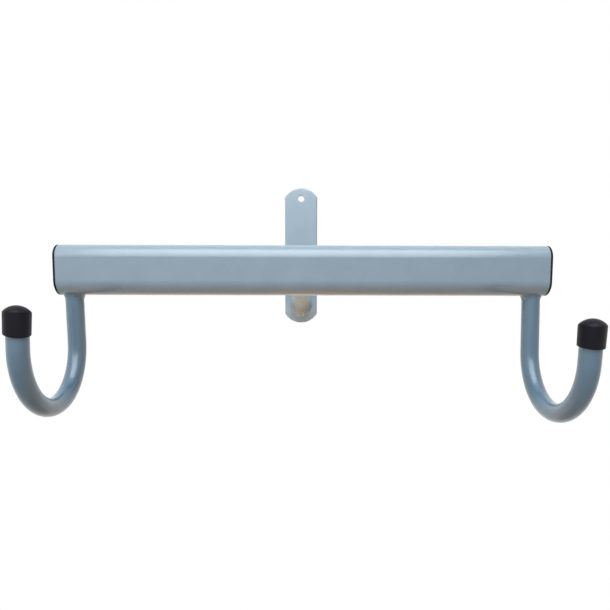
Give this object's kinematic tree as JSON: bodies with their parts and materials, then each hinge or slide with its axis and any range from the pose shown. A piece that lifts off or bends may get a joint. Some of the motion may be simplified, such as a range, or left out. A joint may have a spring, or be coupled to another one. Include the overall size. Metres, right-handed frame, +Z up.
{
  "type": "bike hanger",
  "caption": "Wall-mounted bike hanger: a steel wall plate carries a crossbar on a short arm, and J-hooks with rubber tips hang from the bar's ends to hold a bicycle by its frame",
  "frame": {"origin": "middle of the wall plate's back face, where it lies on the wall", "axes": "+X along the crossbar to the right as seen from the front, +Y into the wall, +Z up"},
  "size_m": [0.593, 0.337, 0.3142],
  "materials": {
    "enamel": "light blue-grey gloss enamel on steel",
    "bead_enamel": "rippled weld beads under the same gloss enamel",
    "plastic": "black moulded plastic",
    "rubber": "black soft rubber with a slight sheen"
  },
  "bodies": {
    "root": {"wall_plate": "enamel", "support_arm": "enamel", "crossbar": "enamel", "hook_left": "enamel", "hook_right": "enamel", "weld_plate": "bead_enamel", "weld_bar": "bead_enamel", "weld_hook_left": "bead_enamel", "weld_hook_right": "bead_enamel", "bar_cap_left": "plastic", "bar_cap_right": "plastic", "tip_cap_left": "rubber", "tip_cap_right": "rubber"}
  },
  "joints": []
}
